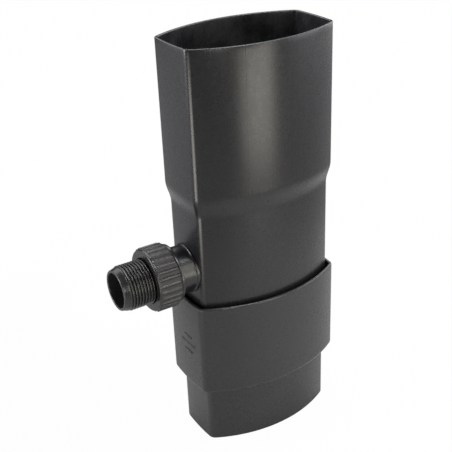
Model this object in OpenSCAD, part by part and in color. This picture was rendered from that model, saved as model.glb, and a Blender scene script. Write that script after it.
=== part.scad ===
// Rainwater diverter for an oval downpipe.
// The belled body takes the upper pipe, and a trough inside it leads the water out at the side.
// The lower coupler stands round the body's end and plugs into the lower pipe.
// The origin is the middle of the coupler's foot, with +Z up and the outlet towards -X.

/* [Oval section] */
// Length of the oval pipe section, outside
pipe_length = 90; // [80:1:110]
// Width of the oval pipe section, outside
pipe_width = 56; // [52:1:64]
// Width of a narrow end, from corner to corner
end_w = 31.5; // [29:0.5:34]
// Bulge of a narrow end
end_bulge = 0.8; // [0.4:0.1:1.6]
// Corner radius of the pipe, outside
corner_r = 4.5; // [4:0.1:6]
// Corner radius of the upper socket, inside
bell_corner_r = 2.7; // [2:0.1:4]
// Corner radius of the sleeve's lip, inside
sleeve_corner_r = 2.5; // [2.5:0.1:4]
// Corner radius of the spigot, outside
spigot_corner_r = 5; // [4.5:0.1:6]

/* [Body] */
// Height of the whole diverter
total_h = 248; // [230:1:300]
// Straight depth of the upper socket
socket_h = 82; // [60:1:90]
// Height of the swell between pipe and socket
swell_h = 13; // [8:1:20]
// Wall of the body
wall = 1.8; // [1.6:0.1:2.2]
// Gap round a pipe in the upper socket
socket_gap = 0.5; // [0.4:0.05:1]
// Bevel of the body's lower end
end_bevel = 0.6; // [0.3:0.1:1]

/* [Lower coupler] */
// Length of the spigot, up to the shoulder
spigot_h = 37.6; // [25:0.1:60]
// Step from the pipe's outside in to the spigot's
spigot_inset = 1.35; // [1:0.05:1.8]
// Height of the sleeve, shoulder to lip
sleeve_h = 60; // [45:1:62]
// Wall of the coupler
coupler_wall = 2; // [1.8:0.1:2.4]
// Gap round the body at the sleeve's lip
lip_gap = 1.7; // [1:0.1:2.4]
// Gap round the body at the sleeve's ledge
seat_gap = 0.5; // [0.3:0.1:0.9]
// Thickness of the shoulder under the body
shoulder_t = 3.4; // [2.6:0.1:5]
// Rounding of the shoulder's outer edge
shoulder_r = 3; // [2:0.1:3.4]

/* [Outlet] */
// Height of the outlet's axis
outlet_z = 116.5; // [113:0.5:122]
// Wall of the neck
neck_wall = 3.8; // [2.4:0.1:5]
// Length of the neck, wall to stop ring
neck_l = 9.9; // [8:0.1:20]
// Step of the collar at the neck's root
root_step = 0.7; // [0.3:0.1:1.2]
// Height of the collar at the neck's root
root_h = 0.8; // [0.4:0.1:2]
// Step from the neck out to the union thread
union_step = 2.6; // [2:0.1:3.2]
// Length of the union thread
union_l = 8.5; // [7:0.1:12]
// Step from the union thread out to the stop ring
stop_step = 0.4; // [0.2:0.1:1]
// Thickness of the stop ring
stop_t = 1.9; // [1:0.1:4]

/* [Tail] */
// Outside diameter of the outlet thread
thread_d = 26.44; // [24:0.01:27]
// Length of the outlet thread
thread_l = 14.4; // [10:0.1:24]
// Depth of the outlet thread
thread_depth = 1.16; // [0.8:0.01:1.3]
// Wall of the tail under the thread
tail_wall = 1.86; // [1.5:0.01:2.4]
// Length of the plain tip before the thread
tip_l = 4; // [2:0.1:8]
// Step from the thread's crest in to the tip
tip_step = 0.5; // [0.3:0.1:0.9]
// How much the tip narrows towards its end
tip_taper = 0.9; // [0:0.1:1]
// Rounding of the tip's edge
tip_bevel = 0.5; // [0.2:0.1:0.8]
// Thickness of the tail's flange
flange_t = 2.2; // [1.5:0.1:4]
// Thickness of the gasket
gasket_t = 1.5; // [1:0.1:3]

/* [Union nut] */
// Wall of the nut under the ribs
nut_wall = 1.4; // [1:0.1:3]
// Height of a rib
rib_h = 0.8; // [0.4:0.1:1]
// Width of a rib
rib_w = 1.5; // [0.8:0.1:2]
// Number of ribs
rib_n = 30; // [20:1:40]
// Thickness of the nut's end wall
cap_t = 2.3; // [1.6:0.1:4]
// Plain rim in front of the ribs
nut_rim = 1.4; // [0.8:0.1:3]
// Bevel of the nut's edges
nut_bevel = 0.8; // [0.3:0.1:1.2]

/* [Overflow insert] */
// Height of the overflow tube above the trough's floor
weir_h = 30; // [20:1:34]
// Width of the trough at its narrow ends
trough_end_w = 15; // [10:0.5:20]
// Width of the trough at the crowns of its long sides
trough_side_w = 12.5; // [9:0.5:15]
// Wall of the insert
insert_wall = 1.8; // [1.2:0.1:2.2]
// Depth of the trough's floor below the outlet's bore
sump_h = 2; // [0.5:0.1:4]
// Depth of the skirt that is cemented to the body
skirt_h = 12; // [6:0.5:14]
// Height of the bead that the insert stands on
bead_h = 2; // [1:0.1:3]
// How far the bead stands in from the body's wall
bead_in = 1.2; // [0.8:0.1:1.6]

/* [Fits] */
// Gap of the glued joint between insert and body
glue_gap = 0.1; // [0.05:0.01:0.2]
// Radial gap of the union thread
thread_gap = 0.08; // [0.04:0.01:0.1]
// Gap between parts that pass without touching
pass_gap = 0.3; // [0.2:0.05:0.4]

/* [Hidden] */
$fn = 120;

// How far every cut runs past the face it opens
overrun = 1;

// Steps round one narrow end, one corner and one long side
end_steps = 4;
corner_steps = 7;
side_steps = 20;
// Steps up the swell, and round the lip and the shoulder
swell_steps = 7;
lip_steps = 6;
shoulder_steps = 5;

// The oval's narrow ends and long sides are arcs through the corner points and the crowns.
chord_x = pipe_length / 2 - end_bulge;
chord_y = end_w / 2;
side_rise = pipe_width / 2 - chord_y;
end_r = (chord_y * chord_y + end_bulge * end_bulge) / (2 * end_bulge);
side_r = (chord_x * chord_x + side_rise * side_rise) / (2 * side_rise);
end_x = pipe_length / 2 - end_r;
side_y = pipe_width / 2 - side_r;

// Levels and steps of the body
socket_z = total_h - socket_h;
swell_z = socket_z - swell_h;
socket_out = socket_gap + wall;
bell_r = bell_corner_r - socket_gap;

// Levels and steps of the coupler
ledge_z = spigot_h + shoulder_t;
lip_z = spigot_h + sleeve_h;
spigot_in = -spigot_inset - coupler_wall;
lip_out = lip_gap + coupler_wall;
sleeve_r = sleeve_corner_r - lip_gap;
spigot_r = spigot_corner_r + spigot_inset;

// Diameters about the outlet's axis, from the bore outwards
core_d = thread_d - 2 * thread_depth;
outlet_bore = core_d - 2 * tail_wall;
neck_d = outlet_bore + 2 * neck_wall;
root_d = neck_d + 2 * root_step;
union_d = neck_d + 2 * union_step;
stop_d = union_d + 2 * stop_step;
flange_d = union_d - 2 * pass_gap;
nut_bore = union_d + 2 * thread_gap;

// Levels of the insert
trough_z = outlet_z - outlet_bore / 2 - sump_h;
skirt_z = trough_z - skirt_h;
insert_out = -wall - glue_gap;
weir_l = pipe_length - 2 * wall - 2 * trough_end_w;
weir_w = pipe_width - 2 * wall - 2 * trough_side_w;

// Places along the outlet, measured outwards from the narrow end's crown
stop_s = neck_l + stop_t;
stub_s = stop_s + union_l;
flange_s = stub_s + gasket_t;
cap_s = flange_s + flange_t;
nut_s = cap_s + cap_t;
thread_s = nut_s + pass_gap;
tip_s = thread_s + thread_l;
tail_s = tip_s + tip_l;
nut_back_s = stop_s + pass_gap;

// Points of an arc, its last one left out
function arc(centre, r, from, to, steps) =
    [for (k = [0 : steps - 1]) let (a = from + (to - from) * k / steps) centre + r * [cos(a), sin(a)]];

// A corner of radius r touches both arcs from inside: its centre lies where two smaller arcs cross.
// It gives the centre, and the turn of the narrow end's arc and of the long side's up to the corner.
function corner(r) =
    let (span = norm([end_x, side_y]), end_reach = end_r - r, side_reach = side_r - r)
    let (along = (end_reach * end_reach - side_reach * side_reach + span * span) / (2 * span))
    let (across = sqrt(end_reach * end_reach - along * along))
    let (x = end_x - along * end_x / span - across * side_y / span)
    let (y = along * side_y / span - across * end_x / span)
    [[x, y], atan2(y, x - end_x), atan2(x, y - side_y)];

// One half of the oval with corners of radius r, grown outwards by step
function half_oval(step, r) = let (c = corner(r), end_a = c[1], side_a = c[2]) concat(
    arc([end_x, 0], end_r + step, -end_a, end_a, end_steps),
    arc(c[0], r + step, end_a, 90 - side_a, corner_steps),
    arc([0, side_y], side_r + step, 90 - side_a, 90 + side_a, side_steps),
    arc([-c[0][0], c[0][1]], r + step, 90 + side_a, 180 - end_a, corner_steps)
);

// The whole oval with corners of radius r, grown outwards by step
function oval(step, r) = let (half = half_oval(step, r)) concat(half, -half);

// Rows [step, height] with the corner radius of their oval added
function rows(points, r) = [for (p = points) [p[0], p[1], r]];

// A smooth swell from one row [step, height, corner radius] to another
function swell(a, b, steps) =
    [for (k = [0 : steps]) let (t = k / steps, ease = (1 - cos(180 * t)) / 2)
        [a[0] + (b[0] - a[0]) * ease, a[1] + (b[1] - a[1]) * t, a[2] + (b[2] - a[2]) * ease]];

// A closed wall round the oval, from rows [step, height, corner radius], outside first
module oval_wall(profile) {
    levels = len(profile);
    cols = len(oval(0, corner_r));
    points = [for (p = profile) for (q = oval(p[0], p[2])) [q[0], q[1], p[1]]];
    faces = [for (j = [0 : levels - 1]) for (i = [0 : cols - 1])
        let (low = j * cols, up = ((j + 1) % levels) * cols, next = (i + 1) % cols)
        each [[low + i, up + i, up + next], [low + i, up + next, low + next]]];
    polyhedron(points, faces);
}

// Places its children on the outlet's axis, their +Z pointing outwards from the narrow end
module on_outlet(s = 0) {
    translate([-pipe_length / 2 - s, 0, outlet_z])
        rotate([0, -90, 0])
            children();
}

// A slot outline with round ends
module slot(length, width) {
    square([length - width, width], center = true);
    for (side = [-1, 1])
        translate([side * (length - width) / 2, 0])
            circle(d = width);
}

// Belled pipe with the bead for the insert, and the outlet's neck with its union thread
module diverter_body() {
    bead_top = skirt_z;
    bead_low = bead_top - bead_h;
    color("#38393b")
    difference() {
        union() {
            oval_wall(concat(
                rows([[-end_bevel, ledge_z], [0, ledge_z + end_bevel]], corner_r),
                swell([0, swell_z, corner_r], [socket_out, socket_z, bell_r], swell_steps),
                rows([[socket_out, total_h - end_bevel], [socket_out - end_bevel, total_h]], bell_r),
                rows([[socket_gap + end_bevel, total_h], [socket_gap, total_h - end_bevel]], bell_r),
                swell([socket_gap, socket_z, bell_r], [-wall, swell_z, corner_r], swell_steps),
                rows([[-wall, bead_top], [-wall - bead_in, bead_top]], corner_r),
                rows([[-wall - bead_in, bead_low], [-wall, bead_low - bead_in]], corner_r),
                rows([[-wall, ledge_z]], corner_r)
            ));
            on_outlet(-wall / 2 - end_bulge) {
                cylinder(d = root_d, h = root_h + wall / 2 + end_bulge);
                cylinder(d = neck_d, h = stop_s + wall / 2 + end_bulge);
            }
            on_outlet(neck_l)
                cylinder(d = stop_d, h = stop_t);
            on_outlet(neck_l)
                cylinder(d = union_d, h = stub_s - neck_l);
        }
        on_outlet(-wall - overrun - end_bulge)
            cylinder(d = outlet_bore, h = stub_s + wall + 2 * overrun + end_bulge);
    }
}

// Sleeve round the body's end, ledge that carries it, and spigot for the lower pipe
module lower_coupler() {
    shoulder = [for (k = [0 : shoulder_steps]) let (a = -90 + 90 * k / shoulder_steps)
        [lip_out - shoulder_r + shoulder_r * cos(a), spigot_h + shoulder_r + shoulder_r * sin(a)]];
    lip_r = coupler_wall / 2;
    lip = [for (k = [0 : lip_steps]) let (a = 180 * k / lip_steps)
        [lip_out - lip_r + lip_r * cos(a), lip_z - lip_r + lip_r * sin(a)]];
    spigot = [[-spigot_inset - end_bevel, 0], [-spigot_inset, end_bevel], [-spigot_inset, spigot_h]];
    color("#404143")
    oval_wall(concat(
        rows(spigot, spigot_r),
        rows(concat(shoulder, lip, [[seat_gap, ledge_z]]), sleeve_r),
        rows([[spigot_in, ledge_z], [spigot_in, 0]], spigot_r)
    ));
}

// Trough round the overflow tube, with the skirt that is cemented to the body
module overflow_insert() {
    color("#333436")
    difference() {
        union() {
            translate([0, 0, skirt_z])
                linear_extrude(skirt_h)
                    polygon(oval(insert_out, corner_r));
            translate([0, 0, trough_z - insert_wall])
                linear_extrude(weir_h + insert_wall)
                    slot(weir_l, weir_w);
        }
        translate([0, 0, skirt_z - overrun])
            linear_extrude(skirt_h - insert_wall + overrun)
                polygon(oval(insert_out - insert_wall, corner_r));
        translate([0, 0, skirt_z - overrun])
            linear_extrude(skirt_h + weir_h + 2 * overrun)
                slot(weir_l - 2 * insert_wall, weir_w - 2 * insert_wall);
    }
}

// Flanged tube with the outlet thread, shown at its full diameter
module outlet_tail() {
    bore_r = outlet_bore / 2;
    core_r = core_d / 2;
    tip_r = thread_d / 2 - tip_step;
    nose_r = tip_r - tip_taper;
    color("#38393b")
    on_outlet()
        rotate_extrude()
            polygon([
                [bore_r, flange_s],
                [flange_d / 2, flange_s],
                [flange_d / 2, cap_s],
                [core_r, cap_s],
                [core_r, thread_s],
                [thread_d / 2, thread_s],
                [thread_d / 2, tip_s],
                [tip_r, tip_s],
                [nose_r, tail_s - tip_bevel],
                [nose_r - tip_bevel, tail_s],
                [bore_r, tail_s]
            ]);
}

// Ribbed nut that draws the tail's flange against the neck
module union_nut() {
    root_r = nut_bore / 2 + nut_wall;
    rib_s = nut_back_s + nut_bevel;
    color("#303133")
    on_outlet() {
        rotate_extrude()
            polygon([
                [nut_bore / 2, nut_back_s],
                [root_r - nut_bevel, nut_back_s],
                [root_r, nut_back_s + nut_bevel],
                [root_r, nut_s - nut_bevel],
                [root_r - nut_bevel, nut_s],
                [thread_d / 2 + pass_gap, nut_s],
                [thread_d / 2 + pass_gap, cap_s],
                [nut_bore / 2, cap_s]
            ]);
        translate([0, 0, rib_s])
            linear_extrude(nut_s - nut_rim - rib_s)
                for (k = [0 : rib_n - 1])
                    rotate(360 * (k + 1 / 2) / rib_n)
                        translate([root_r - rib_h / 2, -rib_w / 2])
                            square([rib_h + rib_h / 2, rib_w]);
    }
}

// Flat rubber ring between the neck and the tail
module outlet_gasket() {
    color("#1a1a1a")
    on_outlet(stub_s)
        difference() {
            cylinder(d = flange_d, h = gasket_t);
            translate([0, 0, -overrun])
                cylinder(d = outlet_bore, h = gasket_t + 2 * overrun);
        }
}

diverter_body();
lower_coupler();
overflow_insert();
outlet_tail();
union_nut();
outlet_gasket();
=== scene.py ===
"""Rainwater diverter: fine surfaces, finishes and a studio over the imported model."""

import math

import bpy
import numpy as np
from bpy.props import FloatProperty, FloatVectorProperty, IntProperty, PointerProperty
from bpy.types import Operator, Panel, PropertyGroup
from mathutils import Matrix, Vector


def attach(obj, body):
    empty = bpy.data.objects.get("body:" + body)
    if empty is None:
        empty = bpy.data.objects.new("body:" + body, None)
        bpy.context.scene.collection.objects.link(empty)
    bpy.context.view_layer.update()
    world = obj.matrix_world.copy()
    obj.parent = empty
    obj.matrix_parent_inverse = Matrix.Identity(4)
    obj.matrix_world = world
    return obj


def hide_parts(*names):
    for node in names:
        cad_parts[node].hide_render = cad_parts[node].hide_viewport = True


bl_info = {
    "name": "Rainwater diverter",
    "version": (1, 0, 0),
    "blender": (4, 5, 0),
    "location": "View3D > Sidebar > Diverter",
    "description": "Shells, ribbed nut, threads and finishes of an oval rainwater diverter",
    "category": "Object",
}

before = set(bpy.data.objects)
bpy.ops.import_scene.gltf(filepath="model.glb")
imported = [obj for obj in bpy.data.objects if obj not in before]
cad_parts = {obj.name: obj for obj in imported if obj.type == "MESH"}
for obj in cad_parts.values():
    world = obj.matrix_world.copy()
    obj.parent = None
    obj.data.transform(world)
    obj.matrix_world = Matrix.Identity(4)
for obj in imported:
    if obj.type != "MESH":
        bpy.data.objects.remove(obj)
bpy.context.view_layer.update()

# Steps round one narrow end, one corner and one long side of the oval
END_STEPS = 20
CORNER_STEPS = 22
SIDE_STEPS = 64
HALF_STEPS = END_STEPS + 2 * CORNER_STEPS + SIDE_STEPS

# Steps round the outlet's axis, and across one rib and its valley
ROUND_STEPS = 288
RIB_STEPS = 16

# One millimetre and one micron in metres
MM = 0.001
MICRON = 1e-6
# Two measures closer than this count as the same
SAME = 2e-7

# Half the side of the square in the narrow end that holds the neck's hole, its rows of cells,
# and the rings of cells between that square and the hole
PATCH_HALF = 13.4 * MM
PATCH_ROWS = 24
FAN_RINGS = 5

# How far to either side the narrow end's arc is followed by the neck's root
FACE_REACH = 12.9 * MM

# Steepness of a thread's flanks, and the share of a turn's rise over which its ends fade
THREAD_STEEP = 1.25
THREAD_FADE = 0.1


def length(name, mm, description):
    """A length property whose default is given in millimetres."""
    return FloatProperty(
        name=name, description=description, default=mm * MM, min=0.0, precision=5,
        subtype="DISTANCE", unit="LENGTH",
    )


def colour(name, value, description):
    """A colour property in linear values."""
    return FloatVectorProperty(
        name=name, description=description, default=value, size=3, min=0.0, max=1.0,
        subtype="COLOR",
    )


def share(name, value, description):
    """A plain number between nothing and one."""
    return FloatProperty(
        name=name, description=description, default=value, min=0.0, max=1.0
    )


class OvalSizes(PropertyGroup):
    """The section that body and coupler share."""

    pipe_length: length("Length", 90, "Length of the oval section, outside")
    pipe_width: length("Width", 56, "Width of the oval section, outside")
    end_width: length("End width", 31.5, "Width of a narrow end, corner to corner")
    end_bulge: length("End bulge", 0.8, "Bulge of a narrow end")
    pipe_corner: length("Pipe corner", 4.5, "Corner radius of the pipe, outside")
    socket_corner: length("Socket corner", 2.7, "Corner radius of the socket, inside")
    lip_corner: length("Lip corner", 2.5, "Corner radius of the sleeve's lip, inside")
    spigot_corner: length("Spigot corner", 5, "Corner radius of the spigot, outside")


class BodySizes(PropertyGroup):
    """The belled pipe."""

    height: length("Height", 248, "Height of the rim above the foot")
    socket_depth: length("Socket depth", 82, "Straight depth of the upper socket")
    swell_height: length("Swell height", 13, "Height of the swell below the socket")
    wall: length("Wall", 1.8, "Wall of the pipe")
    socket_gap: length("Socket gap", 0.5, "Gap round a pipe in the socket")
    rim_round: length("Rim rounding", 0.55, "Rounding of the rim's two edges")
    bead_in: length("Bead", 1.2, "How far the inner bead stands in from the wall")
    bead_height: length("Bead height", 2, "Height of the inner bead")


class CouplerSizes(PropertyGroup):
    """The loose sleeve with its shoulder and spigot."""

    spigot_height: length("Spigot", 37.6, "Length of the spigot below the shoulder")
    spigot_inset: length("Spigot inset", 1.35, "Step from the pipe in to the spigot")
    sleeve_height: length("Sleeve", 60, "Height of the sleeve, shoulder to lip")
    wall: length("Wall", 2, "Wall of the sleeve")
    lip_gap: length("Lip gap", 1.7, "Gap round the body at the lip")
    seat_gap: length("Seat gap", 0.5, "Gap round the body at the ledge")
    shoulder: length("Shoulder", 3.4, "Thickness of the shoulder")
    shoulder_round: length("Shoulder rounding", 3, "Rounding of the shoulder's edge")
    foot_round: length("Foot rounding", 0.6, "Rounding of the spigot's lower edge")


class OutletSizes(PropertyGroup):
    """Neck, tail and gasket, along the outlet's axis."""

    axis_height: length("Axis height", 116.5, "Height of the outlet's axis")
    bore: length("Bore", 20.4, "Bore of the outlet")
    neck: length("Neck", 28, "Diameter of the neck")
    neck_length: length("Neck length", 9.9, "Length of the neck, wall to stop ring")
    root_step: length("Root collar", 0.7, "Step of the collar at the neck's root")
    root_height: length("Root height", 0.8, "Height of the collar at the root")
    stop_thickness: length("Stop ring", 1.9, "Thickness of the stop ring")
    stop_step: length("Stop step", 0.4, "Step from the union thread to the stop ring")
    union: length("Union thread", 33.2, "Diameter of the union thread")
    union_length: length("Union length", 8.5, "Length of the union thread")
    union_pitch: length("Union pitch", 2.309, "Rise of the union thread in a turn")
    union_depth: length("Union depth", 1.35, "Depth of the union thread")
    gasket: length("Gasket", 1.5, "Thickness of the gasket")
    flange: length("Flange", 2.2, "Thickness of the tail's flange")
    thread: length("Thread", 26.44, "Diameter of the outlet thread")
    thread_length: length("Thread length", 14.4, "Length of the outlet thread")
    thread_depth: length("Thread depth", 1.16, "Depth of the outlet thread")
    thread_pitch: length("Thread pitch", 1.814, "Rise of the outlet thread in a turn")
    tip_length: length("Tip", 4, "Length of the plain tip")
    tip_step: length("Tip step", 0.5, "Step from the thread's crest in to the tip")
    tip_taper: length("Tip taper", 0.9, "How much the tip narrows towards its end")
    pass_gap: length("Passing gap", 0.3, "Gap between parts that pass")


class NutSizes(PropertyGroup):
    """The ribbed union nut."""

    wall: length("Wall", 1.4, "Wall of the nut under the ribs")
    thread_gap: length("Thread gap", 0.08, "Radial gap of the union thread")
    end_wall: length("End wall", 2.3, "Thickness of the nut's end wall")
    rim: length("Front rim", 1.4, "Plain rim in front of the ribs")
    bevel: length("Bevel", 0.8, "Rounding of the nut's edges")
    rib_height: length("Rib height", 0.8, "Height of a rib")
    rib_width: length("Rib width", 1.5, "Width of a rib at half its height")
    rib_flank: length("Rib flank", 0.5, "Half the width of a rib's flank")
    ribs: IntProperty(name="Ribs", description="Number of ribs", default=30, min=6)


class InsertSizes(PropertyGroup):
    """The trough with its overflow tube."""

    weir_height: length("Overflow height", 30, "Height of the tube above the floor")
    end_trough: length("End trough", 15, "Width of the trough at the narrow ends")
    side_trough: length("Side trough", 12.5, "Width of the trough at the long sides")
    wall: length("Wall", 1.8, "Wall of the insert")
    sump: length("Sump", 2, "Depth of the floor below the outlet's bore")
    skirt: length("Skirt", 12, "Depth of the cemented skirt")
    glue_gap: length("Glue gap", 0.1, "Gap of the cemented joint")


class MarkSizes(PropertyGroup):
    """The raised bars on the sleeve's narrow face."""

    centre_height: length("Height", 67.2, "Height of the long bar")
    centre_across: length("Across", 3, "How far the long bar lies towards the front")
    spacing: length("Spacing", 5.2, "Step from one bar to the next")
    raised: length("Raised", 0.5, "How far the bars stand out")
    long_bar: length("Long bar", 15, "Length of the middle bar")
    short_bar: length("Short bar", 8, "Length of the outer bars")
    bar_width: length("Bar width", 1.2, "Width of a bar")


class FinishColours(PropertyGroup):
    """Colours and gloss of the mouldings."""

    body: colour("Body", (0.0085, 0.009, 0.01), "Base colour of the belled body")
    coupler: colour("Coupler", (0.0155, 0.016, 0.017), "Base colour of the coupler")
    insert: colour("Insert", (0.06, 0.061, 0.063), "Base colour of the insert")
    fitting: colour("Fitting", (0.012, 0.0122, 0.0128), "Colour of nut and tail")
    rubber: colour("Rubber", (0.016, 0.016, 0.017), "Colour of the gasket")
    # Lighter colour of used edges, also painted as light onto the socket's inner face
    rubbed: colour("Rubbed edge", (0.095, 0.096, 0.1), "Colour of a rubbed edge")
    gloss_body: share("Body roughness", 0.26, "Roughness of body and coupler")
    gloss_fitting: share("Fitting roughness", 0.26, "Roughness of nut and tail")
    gloss_insert: share("Insert roughness", 0.4, "Roughness of the insert")
    gloss_rubber: share("Gasket roughness", 0.75, "Roughness of the gasket")


class StageSizes(PropertyGroup):
    """Camera, floor and lamps."""

    focal: FloatProperty(
        name="Focal length", description="Lens in millimetres", default=69.8, min=10
    )
    camera_at: FloatVectorProperty(
        name="Camera",
        description="Camera's place",
        default=(-0.25048, -0.39166, 0.36458),
        subtype="TRANSLATION",
        unit="LENGTH",
        size=3,
    )
    yaw: FloatProperty(name="Yaw", description="Turn of the view", default=-30.786)
    pitch: FloatProperty(name="Pitch", description="Tilt of the view", default=26.735)
    roll: FloatProperty(name="Roll", description="Roll of the view", default=2.4645)
    floor: FloatProperty(
        name="Floor", description="Side of the floor", default=12.0, unit="LENGTH"
    )
    sheet_colour: colour("Sheet colour", (0.51, 0.51, 0.51), "Floor close to the object")
    floor_colour: colour("Floor colour", (0.3, 0.3, 0.3), "Floor further out")
    sheet_from: length("Sheet's edge", 260, "Distance at which the sheet starts to fade")
    sheet_to: length("Sheet's end", 330, "Distance at which the sheet has faded")
    left_from: length("Left edge", 10, "Distance to the left at which it starts to fade")
    left_to: length("Left end", 140, "Distance to the left at which it has faded")
    surround: share("Surround", 0.02, "Brightness of the room round the object")


def settings(group):
    """The property group of that name on the scene."""
    return getattr(bpy.context.scene, "diverter_" + group)


def arc(centre, radius, start, end, steps):
    """Points centre + radius (cos a, sin a) and normals, a from start to end, end left out."""
    angle = start + (end - start) * np.arange(steps) / steps
    normal = np.stack([np.cos(angle), np.sin(angle)], axis=1)
    return np.asarray(centre) + radius * normal, normal


def both_halves(parts):
    """Points and normals of one half's parts, then of the same half turned about the middle."""
    points, normals = (np.concatenate(arrays) for arrays in zip(*parts))
    return np.concatenate([points, -points]), np.concatenate([normals, -normals])


class Oval:
    """The oval section: arcs through the corner points and the crowns, joined by corner arcs."""

    def __init__(self, sizes):
        self.half_l, half_w = sizes.pipe_length / 2, sizes.pipe_width / 2
        chord_x, chord_y = self.half_l - sizes.end_bulge, sizes.end_width / 2
        rise, bulge = half_w - chord_y, sizes.end_bulge
        self.end_r = (chord_y**2 + bulge**2) / (2 * bulge)
        self.side_r = (chord_x**2 + rise**2) / (2 * rise)
        self.end_x, self.side_y = self.half_l - self.end_r, half_w - self.side_r

    def path(self, radius):
        """Points and outward normals of the section with corners of that radius.

        A corner's centre lies where the circles of the end and of the side cross, both drawn
        smaller by the radius.
        """
        span = math.hypot(self.end_x, self.side_y)
        end_reach, side_reach = self.end_r - radius, self.side_r - radius
        along = (end_reach**2 - side_reach**2 + span**2) / (2 * span)
        across = math.sqrt(end_reach**2 - along**2)
        corner = (
            self.end_x - along * self.end_x / span - across * self.side_y / span,
            along * self.side_y / span - across * self.end_x / span,
        )
        end_a = math.atan2(corner[1], corner[0] - self.end_x)
        side_a = math.atan2(corner[0], corner[1] - self.side_y)
        near, far = math.pi / 2 - side_a, math.pi / 2 + side_a
        return both_halves([
            arc((self.end_x, 0), self.end_r, -end_a, end_a, END_STEPS),
            arc(corner, radius, end_a, near, CORNER_STEPS),
            arc((0, self.side_y), self.side_r, near, far, SIDE_STEPS),
            arc((-corner[0], corner[1]), radius, far, math.pi - end_a, CORNER_STEPS),
        ])

    def end_face(self, across, step):
        """X of the narrow -X end's face, grown by step, at y: -(x0 + sqrt((r + step)^2 - y^2))."""
        return -(self.end_x + np.sqrt((self.end_r + step) ** 2 - across**2))


def swell(low, high, steps):
    """Profile between rows (step, z, corner): z runs evenly, the rest by (1 - cos pi t) / 2."""
    t = np.linspace(0, 1, steps + 1)[:, None]
    ease = (1 - np.cos(math.pi * t)) / 2
    low, high = np.asarray(low), np.asarray(high)
    return low + (high - low) * np.concatenate([ease, t, ease], axis=1)


def gathered(parts):
    """Profile parts, each a row or an array of rows, as one array."""
    return np.concatenate([np.atleast_2d(np.asarray(p, float)) for p in parts])


def tagged(value, *parts):
    """Profile parts (step, z) with a third column: their oval's corner radius or another value."""
    rows = gathered(parts)
    return np.concatenate([rows, np.full((len(rows), 1), value)], axis=1)


def bend(centre, radius, start, end, steps=6):
    """Profile points of a rounding: centre + radius (cos a, sin a), a in degrees, ends kept."""
    angle = np.radians(np.linspace(start, end, steps + 1))
    return np.asarray(centre) + radius * np.stack([np.cos(angle), np.sin(angle)], axis=1)


def run(a, b, steps):
    """Profile points evenly from a to b, both ends kept."""
    t = np.linspace(0, 1, steps + 1)[:, None]
    return np.asarray(a) + (np.asarray(b) - np.asarray(a)) * t


def upright(first, start, end, steps):
    """Profile points whose first value stays and whose second runs evenly from start to end."""
    return run((first, start), (first, end), steps)


def level(second, start, end, steps):
    """Profile points whose second value stays and whose first runs evenly from start to end."""
    return run((start, second), (end, second), steps)


def profile(*parts):
    """The parts in a row, points closer than a micron to their neighbour left out."""
    rows = gathered(parts)
    far = np.hypot(*(rows - np.roll(rows, 1, axis=0))[:, :2].T) > MICRON
    return rows[far]


def quads(rows, cols):
    """Faces of a grid that is closed both ways, as an array (rows, cols, 4) of vertex numbers."""
    grid = np.arange(rows * cols).reshape(rows, cols)
    side = np.roll(grid, -1, axis=1)
    return np.stack([grid, side, np.roll(side, -1, axis=0), np.roll(grid, -1, axis=0)], axis=2)


def bends(rows, reach, amount):
    """Wear of a closed profile: amount times how sharply it bends outwards over reach, 0 to 1."""
    points = rows[:, :2]
    ahead = np.roll(points, -1, axis=0) - points
    behind = np.roll(ahead, 1, axis=0)
    turn = np.arctan2(
        behind[:, 0] * ahead[:, 1] - behind[:, 1] * ahead[:, 0], np.sum(ahead * behind, axis=1)
    )
    step = np.hypot(*ahead.T)
    place = np.cumsum(step) - step
    gap = np.abs(place[:, None] - place)
    near = np.exp(-((np.minimum(gap, step.sum() - gap) / reach) ** 2))
    return np.clip(-(near @ turn) * amount, 0, 1)


def volume(points, faces):
    """Signed volume enclosed by quads: a sixth of their triangles' summed triple products."""
    a, b, c, d = (points[faces[:, k]] for k in range(4))
    return float(np.sum(np.cross(a, b) * c) + np.sum(np.cross(a, c) * d)) / 6


def new_object(name, data):
    """An object in the scene's own collection."""
    thing = bpy.data.objects.new(name, data)
    bpy.context.scene.collection.objects.link(thing)
    return thing


def solid(name, shells, body, node=None):
    """One smooth mesh of closed shells (points, faces, marks of use and painted light), faces
    outwards, riding on a body.
    """
    all_points, all_faces, all_wear_and_painted_light, start = [], [], [], 0
    for points, faces, wear_and_painted_light in shells:
        points = np.asarray(points, float).reshape(-1, 3)
        faces = np.asarray(faces).reshape(-1, 4)
        if volume(points, faces) < 0:
            faces = faces[:, ::-1]
        all_points.append(points)
        all_faces.append(faces + start)
        all_wear_and_painted_light.append(np.ravel(wear_and_painted_light))
        start += len(points)
    points, faces = np.concatenate(all_points), np.concatenate(all_faces)
    mesh = bpy.data.meshes.new(name)
    mesh.vertices.add(len(points))
    mesh.vertices.foreach_set("co", points.astype(np.float32).ravel())
    mesh.loops.add(faces.size)
    mesh.loops.foreach_set("vertex_index", faces.astype(np.int32).ravel())
    mesh.polygons.add(len(faces))
    mesh.polygons.foreach_set("loop_start", np.arange(0, faces.size, 4, dtype=np.int32))
    mesh.polygons.foreach_set("use_smooth", np.ones(len(faces), bool))
    # Per vertex: edges marked by use, and painted light on the socket's inner face, for the finish
    attribute = mesh.attributes.new("wear_and_painted_light", "FLOAT", "POINT")
    attribute.data.foreach_set("value", np.concatenate(all_wear_and_painted_light).astype(np.float32))
    mesh.update(calc_edges=True)
    mesh.validate()
    piece = new_object(name, mesh)
    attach(piece, body)
    if node:
        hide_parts(node)
    return piece


def oval_shell(oval, rows):
    """Rows (step, z, corner) carried round the oval: path(corner) + step * normal, at height z."""
    rings = []
    for step, z, corner in rows:
        points, normals = oval.path(corner)
        high = np.full((len(points), 1), z)
        rings.append(np.concatenate([points + step * normals, high], axis=1))
    return np.stack(rings)


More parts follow.
